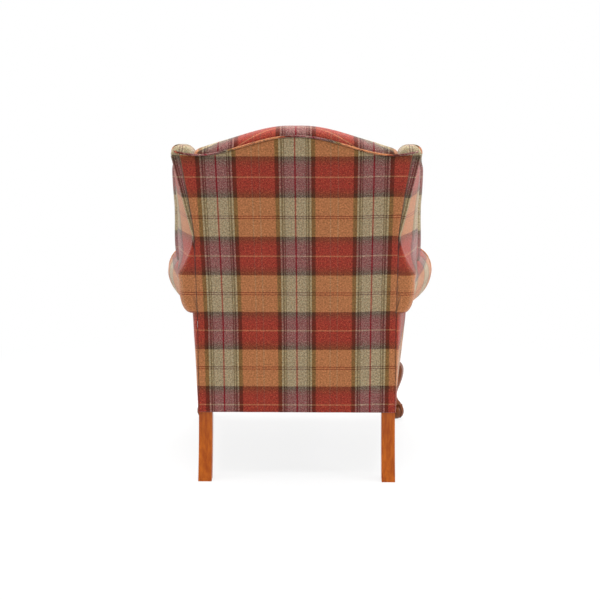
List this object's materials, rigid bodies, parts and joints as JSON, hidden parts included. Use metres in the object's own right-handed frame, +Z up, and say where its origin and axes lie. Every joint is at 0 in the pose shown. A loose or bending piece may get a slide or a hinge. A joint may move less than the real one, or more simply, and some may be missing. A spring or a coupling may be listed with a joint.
{
  "type": "fireside chair",
  "caption": "Wing-back fireside chair: camel-shaped crest, flared wings, rolled arms, loose T-shaped seat cushion, tartan wool cover, cabriole claw-and-ball front legs and swept rear legs",
  "frame": {"origin": "on the floor, under the middle of the chair's bounding box", "axes": "+Z up; the chair faces -Y, so its outside back faces +Y; +X is the sitter's left"},
  "size_m": [0.8688, 0.84, 1.05],
  "materials": {
    "tartan_wool": "woven woollen twill in a traditional tartan of tan, sage, red and brown",
    "welt_cloth": "the same wool over a piping cord",
    "show_wood": "honey-brown stained hardwood, satin lacquer",
    "frame_wood": "plain sawn hardwood, unfinished",
    "webbing": "woven upholstery webbing",
    "deck_cloth": "plain brown cotton over a firm pad",
    "black_lining": "thin black non-woven lining"
  },
  "bodies": {
    "chair": {"arm_board_left": "frame_wood", "arm_board_right": "frame_wood", "arm_facing_left": "tartan_wool", "arm_facing_right": "tartan_wool", "arm_stuffing_rail_left": "frame_wood", "arm_stuffing_rail_right": "frame_wood", "arm_stump_left": "frame_wood", "arm_stump_right": "frame_wood", "back_post_left": "frame_wood", "back_post_right": "frame_wood", "back_seat_rail": "frame_wood", "back_stuffing_rail": "frame_wood", "back_webbing": "webbing", "corner_block_front_left": "frame_wood", "corner_block_front_right": "frame_wood", "corner_block_rear_left": "frame_wood", "corner_block_rear_right": "frame_wood", "crest_rail": "frame_wood", "crest_welt": "welt_cloth", "dust_cover": "black_lining", "front_leg_left": "show_wood", "front_leg_right": "show_wood", "front_seat_rail": "frame_wood", "inside_arm_left": "tartan_wool", "inside_arm_right": "tartan_wool", "inside_back": "tartan_wool", "inside_wing_left": "tartan_wool", "inside_wing_right": "tartan_wool", "knee_bracket_front_left": "show_wood", "knee_bracket_front_right": "show_wood", "knee_bracket_side_left": "show_wood", "knee_bracket_side_right": "show_wood", "outside_arm_left": "tartan_wool", "outside_arm_right": "tartan_wool", "outside_back": "tartan_wool", "outside_wing_left": "tartan_wool", "outside_wing_right": "tartan_wool", "rear_leg_left": "show_wood", "rear_leg_right": "show_wood", "seat_border": "tartan_wool", "seat_deck": "deck_cloth", "seat_webbing": "webbing", "side_seat_rail_left": "frame_wood", "side_seat_rail_right": "frame_wood", "wing_post_left": "frame_wood", "wing_post_right": "frame_wood", "wing_top_rail_left": "frame_wood", "wing_top_rail_right": "frame_wood"},
    "cushion": {"seat_cushion": "tartan_wool"}
  },
  "joints": [
    {"name": "seat_cushion_lift", "type": "slide", "parent": "chair", "child": "cushion", "axis": [0, 0, 1], "range_m": [0, 0.3]}
  ]
}
